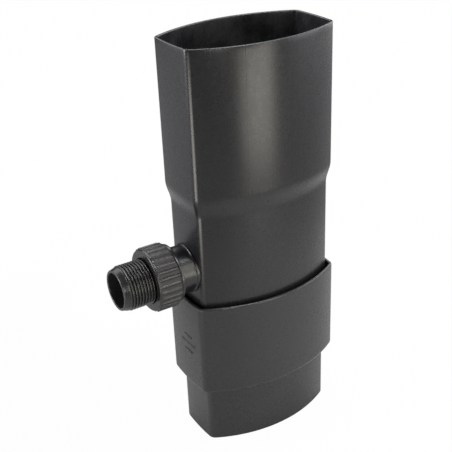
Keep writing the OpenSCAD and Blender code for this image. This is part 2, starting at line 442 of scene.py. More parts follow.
def outlet_points(s, radius, angle):
    """Points round the outlet's axis: s out from the crown, y = r cos a, z = axis - r sin a."""
    sizes = settings("outlet")
    crown = settings("oval").pipe_length / 2
    s, radius, angle = np.broadcast_arrays(s, radius, angle)
    return np.stack(
        [-crown - s, radius * np.cos(angle), sizes.axis_height - radius * np.sin(angle)],
        axis=-1,
    )


def round_angles(steps=ROUND_STEPS):
    """Even angles round the outlet's axis."""
    return 2 * math.pi * np.arange(steps) / steps


def thread_wave(s, angle, pitch, s_from, s_to):
    """Height of a right-hand thread, 0 in the root to 1 on the crest.

    It is the sine of a clipped triangle wave of s / pitch - angle / full turn, faded at both ends.
    """
    phase = s / pitch - angle / (2 * math.pi)
    triangle = 1 - 4 * np.abs((phase % 1.0) - 0.5)
    flank = np.sin(math.pi / 2 * np.clip(triangle * THREAD_STEEP, -1, 1))
    fade = np.clip(np.minimum(s - s_from, s_to - s) / (THREAD_FADE * pitch), 0, 1)
    return (0.5 + 0.5 * flank) * fade


class DIVERTER_OT_body(Operator):
    """Belled pipe with a bead inside, and the outlet's neck with its union thread"""

    bl_idname = "diverter.body"
    bl_label = "Belled body"

    def execute(self, context):
        oval = Oval(settings("oval"))
        outlet = settings("outlet")
        shell, neck = belled_wall(oval, outlet), outlet_neck(oval, outlet)
        solid(
            "belled_body", [shell, neck], "diverter_body", "diverter_body"
        )
        return {"FINISHED"}


def belled_wall(oval, outlet):
    """The body's wall: a closed profile round the oval, with a round hole in the -X end.

    Inside a square of grid cells the wall is a fan between the square's edge and the hole's
    circle, and the two circles are joined through the wall.
    """
    body, coupler, insert = settings("body"), settings("coupler"), settings("insert")
    wall, edge = body.wall, body.rim_round
    foot = coupler.spigot_height + coupler.shoulder
    socket_z = body.height - body.socket_depth
    swell_z = socket_z - body.swell_height
    out_step, in_step = body.socket_gap + wall, body.socket_gap
    bead_top = outlet.axis_height - outlet.bore / 2 - insert.sump - insert.skirt
    bead_low = bead_top - body.bead_height
    bead_step, bead_end = -wall - body.bead_in, bead_low - body.bead_in
    patch_low, patch_high = outlet.axis_height - PATCH_HALF, outlet.axis_height + PATCH_HALF
    section = settings("oval")
    pipe_r, bell_r = section.pipe_corner, section.socket_corner - body.socket_gap
    # Distances kept between a straight run and the row, bend or swell next to it
    small, gap, wide = 0.4 * MM, 1.2 * MM, 2 * MM
    near_swell, near_socket, near_rim = swell_z - gap, socket_z + gap, body.height - 3 * MM
    rows = profile(
        tagged(
            pipe_r,
            bend((-edge, foot + edge), edge, -90, 0),
            upright(0, foot + 1.5 * MM, patch_low - wide, 8),
            upright(0, patch_low, patch_high, PATCH_ROWS),
            upright(0, patch_high + wide, near_swell, 3),
        ),
        swell((0, swell_z, pipe_r), (out_step, socket_z, bell_r), 28),
        tagged(
            bell_r,
            upright(out_step, near_socket, near_rim, 12),
            bend((out_step - edge, body.height - edge), edge, 0, 90),
            bend((in_step + edge, body.height - edge), edge, 90, 180),
            upright(in_step, near_rim, near_socket, 12),
        ),
        swell((in_step, socket_z, bell_r), (-wall, swell_z, pipe_r), 28),
        tagged(
            pipe_r,
            upright(-wall, near_swell, patch_high + wide, 3),
            upright(-wall, patch_high, patch_low, PATCH_ROWS),
            upright(-wall, patch_low - wide, bead_top + small, 2),
            bend((bead_step + small, bead_top - small), small, 90, 180, 4),
            upright(bead_step, bead_low + 0.2 * MM, bead_low, 1),
            upright(-wall, bead_end, bead_end - 1 * MM, 1),
            upright(-wall, bead_low - 4 * MM, foot + small, 6),
        ),
    )
    cols = 2 * HALF_STEPS
    flat = oval_shell(oval, rows).reshape(-1, 3)
    faces = quads(len(rows), cols)
    keep = np.ones(faces.shape[:2], bool)
    across = np.arange(HALF_STEPS, HALF_STEPS + END_STEPS + 1)
    radius = (outlet.bore + outlet.neck) / 4
    t = np.arange(1, FAN_RINGS + 1)[:, None] / FAN_RINGS
    all_points, all_faces, circles, start = [flat], [], [], len(flat)
    for step, first_z, way in ((0.0, patch_low, 1), (-wall, patch_high, -1)):
        first = int(np.argmin(np.hypot(rows[:, 0] - step, rows[:, 1] - first_z)))
        keep[first : first + PATCH_ROWS, across[:-1]] = False
        loop = square_loop(np.arange(first, first + PATCH_ROWS + 1)[::way], across, cols)
        y, z = flat[loop, 1], flat[loop, 2] - outlet.axis_height
        scale = 1 + (radius / np.hypot(y, z) - 1) * t
        y, z = y * scale, z * scale + outlet.axis_height
        all_points.append(np.stack([oval.end_face(y, step), y, z], axis=-1).reshape(-1, 3))
        numbers = np.concatenate([loop[None], start + np.arange(y.size).reshape(y.shape)])
        side = np.roll(numbers, -1, axis=1)
        cells = np.stack([numbers[:-1], side[:-1], side[1:], numbers[1:]], axis=2)
        all_faces.append(cells.reshape(-1, 4)[:, ::way])
        circles.append(numbers[-1])
        start += y.size
    outer, inner = circles
    all_faces.append(np.stack([outer, np.roll(outer, -1), np.roll(inner, -1), inner], axis=1))
    points, faces = np.concatenate(all_points), np.concatenate([faces[keep]] + all_faces)
    # Painted light: the whole inner face of the socket takes the lighter colour, standing in for
    # light that falls into the bell
    socket = (rows[:, 0] <= in_step + SAME) & (rows[:, 1] > socket_z)
    wear_and_painted_light = np.repeat(np.maximum(bends(rows, 0.5 * MM, 0.9), socket), cols)
    return points, faces, np.concatenate([wear_and_painted_light, np.zeros(start - len(flat))])


def square_loop(rows, cols, width):
    """Vertex numbers round a square of the grid: first row, last column, then both backwards."""
    return np.concatenate([
        rows[0] * width + cols[:-1],
        rows[:-1] * width + cols[-1],
        rows[-1] * width + cols[:0:-1],
        rows[:0:-1] * width + cols[0],
    ])


def outlet_neck(oval, outlet):
    """The neck turned round the outlet's axis; its rows inside the wall follow the end's arc."""
    wall = settings("body").wall
    neck_r, union_r, bore_r = outlet.neck / 2, outlet.union / 2, outlet.bore / 2
    root_r, stop_r = neck_r + outlet.root_step, union_r + outlet.stop_step
    root_s, ring_s = outlet.root_height, outlet.neck_length
    stop_s = ring_s + outlet.stop_thickness
    stub_s = stop_s + outlet.union_length
    small, fillet = 0.3 * MM, 0.8 * MM
    lead_s = stub_s - 0.4 * MM
    rows = profile(
        level(bore_r, -wall, 0.5 * MM, 2),
        level(bore_r, 2 * MM, stub_s - 1 * MM, 4),
        bend((stub_s - small, bore_r + small), small, -90, 0, 4),
        upright(stub_s, bore_r + small, union_r - 1.9 * MM, 2),
        run((stub_s, union_r - 1.7 * MM), (lead_s, union_r - 1.3 * MM), 1),
        level(union_r, lead_s, stop_s, 59),
        upright(stop_s, union_r + 0.02 * MM, stop_r - small, 1),
        bend((stop_s - small, stop_r - small), small, 0, 90, 4),
        bend((ring_s + small, stop_r - small), small, 90, 180, 4),
        upright(ring_s, stop_r - 2 * small, neck_r + fillet + small, 1),
        bend((ring_s - fillet, neck_r + fillet), fillet, 0, -90, 6),
        level(neck_r, ring_s - 2 * fillet, root_s + 2 * fillet, 4),
        bend((root_s + fillet / 2, neck_r + fillet / 2), fillet / 2, -90, -135, 3),
        bend((root_s - small, root_r - small), small, 45, 90, 4),
        level(root_r, root_s - 2 * small, -1.2 * MM, 3),
        upright(-wall, root_r - 0.5 * MM, bore_r + 1 * MM, 1),
    )
    angle = round_angles()[None]
    s, radius = rows[:, :1], rows[:, 1:]
    end = 0.2 * MM
    wave = thread_wave(s, angle, outlet.union_pitch, stop_s + end, stub_s - end)
    radius = radius - (np.abs(radius - union_r) < SAME) * outlet.union_depth * (1 - wave)
    across = np.clip(radius * np.cos(angle), -FACE_REACH, FACE_REACH)
    sag = -oval.half_l - oval.end_face(across, 0)
    s = s + (s <= -1.5 * MM) * sag
    wear_and_painted_light = np.repeat(bends(rows, 0.3 * MM, 0.8), ROUND_STEPS)
    return outlet_points(s, radius, angle), quads(len(rows), ROUND_STEPS), wear_and_painted_light


class DIVERTER_OT_coupler(Operator):
    """Sleeve round the body's end, rounded shoulder, ledge and spigot"""

    bl_idname = "diverter.coupler"
    bl_label = "Lower coupler"

    def execute(self, context):
        section, sizes = settings("oval"), settings("coupler")
        foot, under = -sizes.spigot_inset, sizes.spigot_height
        ledge_z, lip_z = under + sizes.shoulder, under + sizes.sleeve_height
        lip_out, lip_r = sizes.lip_gap + sizes.wall, sizes.wall / 2
        inner = lip_out - 2 * lip_r
        spigot_in = foot - sizes.wall
        edge, turn = sizes.foot_round, sizes.shoulder_round
        spigot_r = section.spigot_corner + sizes.spigot_inset
        sleeve_r = section.lip_corner - sizes.lip_gap
        small, gap = 0.4 * MM, 1.2 * MM
        near_lip = lip_z - lip_r - gap
        rows = profile(
            tagged(
                spigot_r,
                bend((foot - edge, edge), edge, -90, 0),
                upright(foot, 2 * edge, under - 2 * small, 8),
                bend((foot + small, under - small), small, 180, 90, 4),
            ),
            tagged(
                sleeve_r,
                bend((lip_out - turn, under + turn), turn, -90, 0, 14),
                upright(lip_out, under + turn + gap, near_lip, 14),
                bend((lip_out - lip_r, lip_z - lip_r), lip_r, 0, 180, 16),
                run((inner - 0.03 * MM, near_lip), (sizes.seat_gap, ledge_z + 0.6 * MM), 14),
                (sizes.seat_gap - 0.05 * MM, ledge_z),
            ),
            tagged(
                spigot_r,
                (spigot_in + 0.6 * MM, ledge_z),
                bend((spigot_in + 0.5 * MM, ledge_z - 0.5 * MM), 0.5 * MM, 90, 180, 4),
                upright(spigot_in, ledge_z - 2 * MM, 1 * MM, 8),
                bend((spigot_in + small, small), small, 180, 270, 4),
            ),
        )
        cols = 2 * HALF_STEPS
        wear_and_painted_light = np.repeat(bends(rows, 0.5 * MM, 0.7), cols)
        shell = oval_shell(Oval(section), rows), quads(len(rows), cols), wear_and_painted_light
        solid("coupler_sleeve", [shell], "lower_coupler", "lower_coupler")
        return {"FINISHED"}


class DIVERTER_OT_insert(Operator):
    """Trough round the overflow tube, with its cemented skirt"""

    bl_idname = "diverter.insert"
    bl_label = "Overflow insert"

    def execute(self, context):
        sizes, outlet, body = settings("insert"), settings("outlet"), settings("body")
        section = settings("oval")
        floor = outlet.axis_height - outlet.bore / 2 - sizes.sump
        foot, top, under = floor - sizes.skirt, floor + sizes.weir_height, floor - sizes.wall
        out_step, w = -body.wall - sizes.glue_gap, sizes.wall
        in_step = out_step - w
        edge, rim, root = 0.5 * MM, 0.7 * MM, 1.2 * MM
        inner, near_rim = out_step - edge, top - 1.5 * MM
        # Columns are step, height and the slot's share in the outline: skirt 0, tube 1
        share_from, share_to = 0.06, 0.96
        floor_from = inner + share_from * (root - inner)
        back_from = in_step - share_to * (in_step + w)
        rows = np.concatenate([
            tagged(
                0,
                upright(out_step, foot, foot + edge, 1),
                (out_step, floor - 1 * MM),
                bend((inner, floor - edge), edge, 0, 90, 5),
            ),
            run((floor_from, floor, share_from), (root, floor, 1), 11),
            tagged(
                1,
                bend((root, floor + root), root, 258.54, 180, 5),
                upright(0, floor + 2 * root, near_rim, 7),
                bend((-rim, top - rim), rim, 0, 90, 5),
                bend((rim - w, top - rim), rim, 90, 180, 5),
                upright(-w, near_rim, under + 1 * MM, 9),
                (-w, under),
            ),
            run((back_from, under, share_to), (in_step, under, 0), 9),
            tagged(0, (in_step, under - 1 * MM), upright(in_step, foot + edge, foot, 1)),
        ])
        slot, slot_normal = slot_outline(
            section.pipe_length / 2 - body.wall - sizes.end_trough,
            section.pipe_width / 2 - body.wall - sizes.side_trough,
        )
        step, high, blend = rows.T[:, :, None, None]
        around, outwards = Oval(section).path(section.pipe_corner)
        ring = (1 - blend) * (around + step * outwards) + blend * (slot + step * slot_normal)
        points = np.concatenate([ring, np.broadcast_to(high, ring.shape[:2] + (1,))], axis=2)
        cols = 2 * HALF_STEPS
        wear_and_painted_light = np.repeat(0.6 * (rows[:, 1] > top - 0.8 * MM), cols)
        shell = points, quads(len(rows), cols), wear_and_painted_light
        solid("overflow_trough", [shell], "diverter_body", "overflow_insert")
        return {"FINISHED"}


def slot_outline(half_length, half_width):
    """A slot with round ends, stepped like the oval: ends and corners go round, sides straight."""
    straight = half_length - half_width
    lean, quarter = math.radians(35), math.pi / 2
    side = 1 - 2 * np.arange(SIDE_STEPS)[:, None] / SIDE_STEPS
    return both_halves([
        arc((straight, 0), half_width, -lean, lean, END_STEPS),
        arc((straight, 0), half_width, lean, quarter, CORNER_STEPS),
        (side * [straight, 0] + [0, half_width], np.broadcast_to([0.0, 1.0], (SIDE_STEPS, 2))),
        arc((-straight, 0), half_width, quarter, math.pi - lean, CORNER_STEPS),
    ])


class DIVERTER_OT_tail(Operator):
    """Flanged tube with its outside thread and plain tip"""

    bl_idname = "diverter.tail"
    bl_label = "Threaded tail"

    def execute(self, context):
        outlet = settings("outlet")
        flange_s, cap_s, thread_s, tip_s, tail_s = tail_places(outlet)
        bore_r, core_r = outlet.bore / 2, outlet.thread / 2 - outlet.thread_depth
        flange_r = outlet.union / 2 - outlet.pass_gap
        tip_r = outlet.thread / 2 - outlet.tip_step
        nose_r = tip_r - outlet.tip_taper
        small, lead = 0.3 * MM, 0.45 * MM
        end = 0.02 * MM
        rows = profile(
            run((flange_s, bore_r + 0.2 * MM), (flange_s + 0.2 * MM, bore_r), 1),
            level(bore_r, flange_s + 1 * MM, tail_s - 1.2 * MM, 8),
            bend((tail_s - lead, bore_r + lead), lead, -90, 0, 5),
            bend((tail_s - lead, nose_r - lead), lead, 0, 80, 5),
            run(
                (tail_s - 2 * lead, nose_r + 0.1 * outlet.tip_taper), (tip_s + 0.5 * MM, tip_r), 6
            ),
            bend((tip_s + 0.3 * MM, tip_r - 0.25 * MM), 0.25 * MM, 90, 180, 4),
            # A micron higher than the plain core, so that these rows are known as the thread
            level(core_r + MICRON, tip_s - end, thread_s + end, 149),
            level(core_r, thread_s - 0.3 * MM, cap_s + 0.3 * MM, 2),
            upright(cap_s, core_r + 0.1 * MM, flange_r - small, 2),
            bend((cap_s - small, flange_r - small), small, 0, 90, 4),
            bend((flange_s + small, flange_r - small), small, 90, 180, 4),
        )
        angle = round_angles()[None]
        s, radius = rows[:, :1], rows[:, 1:]
        wave = thread_wave(s, angle, outlet.thread_pitch, thread_s, tip_s)
        threaded = np.abs(radius - core_r - MICRON) < SAME
        radius = radius + threaded * outlet.thread_depth * wave
        crest = 0.5 * threaded * np.clip(wave * 2 - 1.4, 0, 1)
        wear_and_painted_light = np.maximum(bends(rows, 0.3 * MM, 0.8)[:, None], crest)
        shell = outlet_points(s, radius, angle), quads(len(rows), ROUND_STEPS), wear_and_painted_light
        solid("threaded_tail", [shell], "outlet_tail", "outlet_tail")
        return {"FINISHED"}


def tail_places(outlet):
    """Places along the outlet: flange, the nut's end wall, thread, tip and the tail's end."""
    flange_s = outlet.neck_length + outlet.stop_thickness + outlet.union_length + outlet.gasket
    cap_s = flange_s + outlet.flange
    thread_s = cap_s + settings("nut").end_wall + outlet.pass_gap
    tip_s = thread_s + outlet.thread_length
    return flange_s, cap_s, thread_s, tip_s, tip_s + outlet.tip_length


class DIVERTER_OT_nut(Operator):
    """Union nut with rounded ribs round its outside"""

    bl_idname = "diverter.nut"
    bl_label = "Ribbed union nut"

    def execute(self, context):
        outlet, nut = settings("outlet"), settings("nut")
        _, cap_s, _, _, _ = tail_places(outlet)
        back_s = outlet.neck_length + outlet.stop_thickness + outlet.pass_gap
        front_s = cap_s + nut.end_wall
        bore_r = outlet.union / 2 + nut.thread_gap
        hole_r = outlet.thread / 2 + outlet.pass_gap
        root_r, edge, small = bore_r + nut.wall, nut.bevel, 0.25 * MM
        rows = profile(
            level(bore_r, back_s + small, cap_s - small, 8),
            upright(cap_s, bore_r - small, hole_r + small, 1),
            bend((cap_s + small, hole_r + small), small, 180, 270, 3),
            bend((front_s - small, hole_r + small), small, -90, 0, 3),
            upright(front_s, hole_r + 2 * small, root_r - 2 * edge, 2),
            bend((front_s - edge, root_r - edge), edge, 0, 90, 6),
            level(root_r, front_s - edge - 0.1 * MM, front_s - 3 * edge, 10),
            level(root_r, front_s - 4 * edge, back_s + 3 * edge, 8),
            level(root_r, back_s + 2.5 * edge, back_s + edge + 0.1 * MM, 7),
            bend((back_s + edge, root_r - edge), edge, 90, 180, 6),
            upright(back_s, root_r - edge - small, bore_r + small, 1),
        )
        steps = RIB_STEPS * nut.ribs
        angle = round_angles(steps)[None]
        s, radius = rows[:, :1], rows[:, 1:]
        turn = (angle * nut.ribs / (2 * math.pi)) % 1.0
        offset = (0.5 - np.abs(turn - 0.5)) * 2 * math.pi * root_r / nut.ribs
        flank = nut.rib_flank
        rib = np.clip((nut.rib_width / 2 + flank - offset) / (2 * flank), 0, 1)
        rib = rib * rib * (3 - 2 * rib)
        rib_from, rib_to = back_s + 0.6 * edge, front_s - 0.8 * nut.rim
        ends = np.clip(np.minimum((s - rib_from) / edge, (rib_to - s) / (0.6 * edge)), 0, 1)
        outside = radius > root_r - 0.6 * edge
        lift = rib * np.sqrt(ends) * outside
        wear_and_painted_light = np.maximum(bends(rows, 0.3 * MM, 0.7)[:, None], np.clip(lift - 0.6, 0, 1))
        # Negative wear marks the valleys, which the finish keeps matt
        wear_and_painted_light = wear_and_painted_light - (1 - rib) * (ends > 0) * outside
        points = outlet_points(s, radius + lift * nut.rib_height, angle)
        shell = points, quads(len(rows), steps), wear_and_painted_light
        solid("ribbed_union_nut", [shell], "union_nut", "union_nut")
        return {"FINISHED"}


class DIVERTER_OT_marks(Operator):
    """Three raised bars on the sleeve's narrow face"""

    bl_idname = "diverter.marks"
    bl_label = "Raised bars"

    def execute(self, context):
        sizes = settings("marks")
        bars = ((1, sizes.short_bar), (0, sizes.long_bar), (-1, sizes.short_bar))
        shells = [raised_bar(sizes, long, place * sizes.spacing) for place, long in bars]
        solid("raised_bars", shells, "lower_coupler", None)
        return {"FINISHED"}


def raised_bar(sizes, long, lift):
    """A bar with round ends on the sleeve: rings of its outline, inset as they rise, closed."""
    oval, coupler = Oval(settings("oval")), settings("coupler")
    steps = 9
    angle = np.radians(np.linspace(-90, 90, steps))[None, :, None]
    inset, high = np.array([[0, 0, 0.1, 0.28], [-0.3, 0.55, 0.85, 1.0]]) * sizes.raised
    radius = sizes.bar_width / 2 - inset[:, None, None]
    shift = [(long - sizes.bar_width) / 2, 0]
    end = radius * np.concatenate([np.cos(angle), np.sin(angle)], axis=2) + shift
    ring = np.concatenate([end, -end], axis=1) + [-sizes.centre_across, sizes.centre_height + lift]
    across, up = ring[..., 0], ring[..., 1]
    out = oval.end_face(across, coupler.lip_gap + coupler.wall) - high[:, None]
    points = np.stack([out, across, up], axis=2)
    rows, cols = across.shape
    low = np.arange(steps - 1)
    strips = np.stack([low, low + 1, cols - 2 - low, cols - 1 - low], axis=1)
    top = strips + (rows - 1) * cols
    faces = np.concatenate([quads(rows, cols)[:-1].reshape(-1, 4), strips[:, ::-1], top])
    wear_and_painted_light = np.repeat([0.0, 0.1, 0.4, 0.3], cols)
    return points, faces, wear_and_painted_light


class Wiring:
    """Short hands for adding and joining nodes in one tree."""

    def __init__(self, tree):
        self.tree = tree

    def feed(self, node, feeds):
        """Values or sockets into the node's inputs, by name or number."""
        for key, value in feeds.items():
            if isinstance(value, bpy.types.NodeSocket):
                self.tree.links.new(value, node.inputs[key])
            else:
                node.inputs[key].default_value = value

    def add(self, kind, feeds=(), **values):
        """A node with its settings and what feeds its inputs."""
        node = self.tree.nodes.new(kind)
        for name, value in values.items():
            setattr(node, name, value)
        self.feed(node, dict(feeds))
        return node

    def math(self, operation, a, b=0.0, clamp=False):
        values = {"operation": operation, "use_clamp": clamp}
        return self.add("ShaderNodeMath", {0: a, 1: b}, **values).outputs[0]

    def noise(self, vector, scale, detail, rough):
        feeds = {"Vector": vector, "Scale": scale, "Detail": detail, "Roughness": rough}
        return self.add("ShaderNodeTexNoise", feeds).outputs["Fac"]

    def spread(self, value, low, high, new_low=0.0, new_high=1.0):
        feeds = dict(enumerate((value, low, high, new_low, new_high)))
        return self.add("ShaderNodeMapRange", feeds, clamp=True).outputs[0]

    def mix(self, factor, a, b, way="MIX"):
        feeds = {"Factor": factor, "A": a, "B": b}
        values = {"data_type": "RGBA", "blend_type": way}
        return self.add("ShaderNodeMix", feeds, **values).outputs["Result"]


def new_group(name, inputs, outputs):
    """A shader node group, its wiring, its input sockets and its output node.

    An input whose default is None is a vector, and every other socket is a number.
    """
    group = bpy.data.node_groups.new(name, "ShaderNodeTree")
    for label, default in inputs.items():
        kind = "NodeSocketVector" if default is None else "NodeSocketFloat"
        socket = group.interface.new_socket(name=label, in_out="INPUT", socket_type=kind)
        if default is not None:
            socket.default_value = default
    for label in outputs:
        group.interface.new_socket(name=label, in_out="OUTPUT", socket_type="NodeSocketFloat")
    w = Wiring(group)
    return group, w, w.add("NodeGroupInput").outputs, w.add("NodeGroupOutput")


# Noises of the finishes: scale a metre, detail and roughness
NOISES = {
    "wave": (26.0, 1.0, 0.4),
    "patch": (90.0, 2.0, 0.5),
    "scuff": (16.0, 6.0, 0.6),
    "streak": (420.0, 3.0, 0.6),
    "tint": (34.0, 4.0, 0.6),
    "gloss": (300.0, 3.0, 0.6),
}
GRAIN_SCALE = 2600.0
# Height of the wall's waviness and of the parting line, in steps of the bump, and that step
WAVE_HEIGHT = 12.0
LINE_HEIGHT = 0.8
BUMP_STEP = 0.02 * MM
# What scuffs add to the roughness, and the valleys of the nut
SCUFF_ROUGHNESS = 0.1
HOLLOW_ROUGHNESS = 0.28


def moulded_grain():
    """Height of a spark-eroded mould: a fine grain over a slow waviness of the wall."""
    inputs = {"Position": None, "Grain scale": GRAIN_SCALE, "Grain": 0.015, "Wave": 0.5}
    group, w, start, end = new_group("Moulded grain", inputs, ["Height"])
    fine = w.noise(start["Position"], start["Grain scale"], 2.0, 0.6)
    slow = w.noise(start["Position"], *NOISES["wave"])
    grain = w.math("MULTIPLY", fine, start["Grain"])
    wave = w.math("MULTIPLY", w.math("MULTIPLY", slow, WAVE_HEIGHT), start["Wave"])
    w.feed(end, {"Height": w.math("ADD", grain, wave)})
    return group


def wear_and_painted_light_masks():
    """Masks: used edges and painted light inside the socket, both broken up by noise, and faint
    cloudy scuffs on the faces.
    """
    inputs = {"Position": None, "Edge": 0.0, "Edge amount": 0.25, "Scuff amount": 0.4}
    group, w, start, end = new_group("Handling wear", inputs, ["Rubbed_and_painted_light", "Scuffed"])
    place = start["Position"]
    patch = w.spread(w.noise(place, *NOISES["patch"]), 0.3, 0.7)
    # Share of the lighter colour: used edges, and the painted light inside the socket
    rubbed = w.math("MULTIPLY", start["Edge"], patch)
    cloud = w.spread(w.noise(place, *NOISES["scuff"]), 0.42, 0.72)
    upright_map = w.add("ShaderNodeMapping", {"Vector": place, "Scale": (1.0, 1.0, 0.08)})
    streak = w.spread(w.noise(upright_map.outputs[0], *NOISES["streak"]), 0.5, 0.8)
    scuffed = w.math("ADD", cloud, w.math("MULTIPLY", streak, 0.5))
    w.feed(end, {
        "Rubbed_and_painted_light": w.math("MULTIPLY", rubbed, start["Edge amount"], True),
        "Scuffed": w.math("MULTIPLY", scuffed, start["Scuff amount"], True),
    })
    return group


def parting_line():
    """Height of a mould's parting line: a narrow ridge where the distance passes zero."""
    inputs = {"Distance": 0.0, "Width": 0.3 * MM}
    group, w, start, end = new_group("Parting line", inputs, ["Height"])
    away = w.math("DIVIDE", w.math("ABSOLUTE", start["Distance"]), start["Width"])
    w.feed(end, {"Height": w.math("SUBTRACT", 1.0, w.math("MINIMUM", away, 1.0))})
    return group


def plastic(
    name, base, roughness, groups,
    grain_scale=GRAIN_SCALE, grain=0.015, wave=0.5, line=None, rubbed=None, scuff=0.4,
):
    """Moulded plastic: clouded base colour, lighter on used edges and with painted light inside
    the socket, rougher where scuffed.

    A line is the parting line down both long sides, shifted that far from their middle.
    """
    material = bpy.data.materials.new(name)
    material.use_nodes = True
    w = Wiring(material.node_tree)
    place = w.add("ShaderNodeTexCoord").outputs["Object"]
    # Used edges, and painted light on the socket's inner face
    edge = w.add("ShaderNodeAttribute", attribute_name="wear_and_painted_light").outputs["Fac"]
    feeds = {"Position": place, "Edge": edge, "Scuff amount": scuff}
    wear_and_painted_light = w.add("ShaderNodeGroup", feeds, node_tree=groups["wear_and_painted_light"]).outputs
    cloud = w.spread(w.noise(place, *NOISES["tint"]), 0.3, 0.7, 0.94, 1.06)
    tint = w.mix(1.0, (*base, 1.0), cloud, "MULTIPLY")
    fine = w.spread(w.noise(place, *NOISES["gloss"]), 0.3, 0.7, -0.02, 0.02)
    scuffed = w.math("MULTIPLY", wear_and_painted_light["Scuffed"], SCUFF_ROUGHNESS)
    rough = w.math("ADD", w.math("ADD", roughness, fine), scuffed)
    hollow = w.math("MULTIPLY", edge, -HOLLOW_ROUGHNESS, True)
    feeds = {"Position": place, "Grain scale": grain_scale, "Grain": grain, "Wave": wave}
    height = w.add("ShaderNodeGroup", feeds, node_tree=groups["grain"]).outputs["Height"]
    if line is not None:
        x = w.add("ShaderNodeSeparateXYZ", {0: place}).outputs[0]
        feeds = {"Distance": w.math("ADD", x, line)}
        seam = w.add("ShaderNodeGroup", feeds, node_tree=groups["line"]).outputs["Height"]
        height = w.math("ADD", height, w.math("MULTIPLY", seam, LINE_HEIGHT))
    bump = w.add("ShaderNodeBump", {"Strength": 1.0, "Distance": BUMP_STEP, "Height": height})
    # Painted light: this lighter colour also lightens the socket's inner face, where light falls
    # into the bell
    worn_and_painted_light = (*(rubbed or settings("finish").rubbed), 1.0)
    w.feed(material.node_tree.nodes["Principled BSDF"], {
        "Base Color": w.mix(wear_and_painted_light["Rubbed_and_painted_light"], tint, worn_and_painted_light),
        "Roughness": w.math("ADD", rough, hollow),
        "IOR": 1.5,
        "Normal": bump.outputs["Normal"],
    })
    return material


class DIVERTER_OT_finishes(Operator):
    """Procedural finishes of every piece"""

    bl_idname = "diverter.finishes"
    bl_label = "Finishes"

    def execute(self, context):
        finish = settings("finish")
        groups = {"grain": moulded_grain(), "wear_and_painted_light": wear_and_painted_light_masks(), "line": parting_line()}
        sleeve, fitting = ["coupler_sleeve", "raised_bars"], ["threaded_tail", "ribbed_union_nut"]
        fitting_look = {"grain_scale": 3600.0, "grain": 0.06, "wave": 0.2, "scuff": 0.6}
        rubber_look = {"grain_scale": 5000.0, "grain": 1.2, "wave": 0.0, "scuff": 0.8}
        rubber_look["rubbed"] = (0.05, 0.05, 0.05)
        for name, base, gloss, look, pieces in (
            ("body_plastic_moulded", "body", "body", {"line": 0.018}, ["belled_body"]),
            ("coupler_plastic_moulded", "coupler", "body", {"line": -0.005}, sleeve),
            ("insert_plastic_moulded", "insert", "insert", {"grain": 0.2}, ["overflow_trough"]),
            ("fitting_plastic_moulded", "fitting", "fitting", fitting_look, fitting),
            ("gasket_rubber", "rubber", "rubber", rubber_look, ["outlet_gasket"]),
        ):
            roughness = getattr(finish, "gloss_" + gloss)
            material = plastic(name, getattr(finish, base), roughness, groups, **look)
            for piece in pieces:
                data = bpy.data.objects[piece].data
                data.materials.clear()
                data.materials.append(material)
        return {"FINISHED"}


# Colours of the lamps, and the point that they look at
COOL = (0.98, 0.975, 1.0)
WARM = (1.0, 0.97, 0.88)
MIDDLE = Vector((0, 0, 0.125))
# Name, azimuth and elevation seen from that point, distance, width, height, power, colour
LAMPS = (
    ("left_softbox", -110, 14, 1.2, 0.4, 1.0, 17.6, COOL),
    ("left_back_softbox", -135, 14, 1.2, 0.7, 1.0, 3.0, COOL),
    ("right_softbox", 60, 14, 1.2, 0.75, 1.0, 8.0, COOL),
    ("right_back_softbox", 100, 14, 1.2, 0.75, 1.0, 7.8, COOL),
    ("high_back_softbox", 135, 55, 1.2, 0.9, 0.9, 11.0, COOL),
    ("back_softbox", 180, 40, 1.2, 0.8, 0.8, 4.6, COOL),
    ("overhead_strip", 24, 68, 0.8, 0.16, 0.4, 3.0, COOL),
    ("left_card", -65, -6.3, 0.27, 0.12, 0.14, 0.33, WARM),
    ("front_card", 15, -6, 0.5, 0.22, 0.14, 0.5, WARM),
    ("front_strip", 23, 22, 0.6, 0.12, 0.45, 0.85, WARM),
    ("tip_card", -15, 20, 0.5, 0.08, 0.2, 0.5, WARM),
)
# How white the camera sees the floor near the object, and what is added where it is far
WHITE_NEAR = 0.97
WHITE_FAR = 0.025


class DIVERTER_OT_stage(Operator):
    """Camera at the photograph's view, pale floor, surround and soft lamps"""

    bl_idname = "diverter.stage"
    bl_label = "Stage"

    def execute(self, context):
        place_camera(settings("stage"))
        place_floor(settings("stage"))
        surround(settings("stage"))
        for name, azimuth, elevation, distance, width, height, power, tint in LAMPS:
            a, e = math.radians(azimuth), math.radians(elevation)
            away = Vector((math.sin(a) * math.cos(e), -math.cos(a) * math.cos(e), math.sin(e)))
            light = bpy.data.lights.new(name, "AREA")
            light.shape = "RECTANGLE"
            light.size, light.size_y = width, height
            light.energy, light.color = power, tint
            lamp = new_object(name, light)
            lamp.location = MIDDLE + away * distance
            lamp.rotation_mode = "QUATERNION"
            lamp.rotation_quaternion = away.to_track_quat("Z", "Y")
            lamp.visible_camera = False
        context.scene.view_settings.view_transform = "Standard"
        return {"FINISHED"}


def place_camera(stage):
    """Camera turned by yaw, then tilted by pitch and rolled, looking at the object."""
    yaw, pitch, roll = (math.radians(v) for v in (stage.yaw, stage.pitch, stage.roll))
    flat = math.cos(pitch)
    ahead = Vector((-math.sin(yaw) * flat, math.cos(yaw) * flat, -math.sin(pitch)))
    right = Vector((math.cos(yaw), math.sin(yaw), 0))
    down = ahead.cross(right)
    right_r = right * math.cos(roll) + down * math.sin(roll)
    down_r = down * math.cos(roll) - right * math.sin(roll)
    data = bpy.data.cameras.new("camera")
    data.sensor_fit, data.sensor_width = "HORIZONTAL", 36.0
    data.lens = stage.focal
    data.clip_start, data.clip_end = 0.01, 50.0
    camera = new_object("camera", data)
    turn = Matrix((right_r, -down_r, -ahead)).transposed().to_4x4()
    camera.matrix_world = Matrix.Translation(stage.camera_at) @ turn
    bpy.context.scene.camera = camera


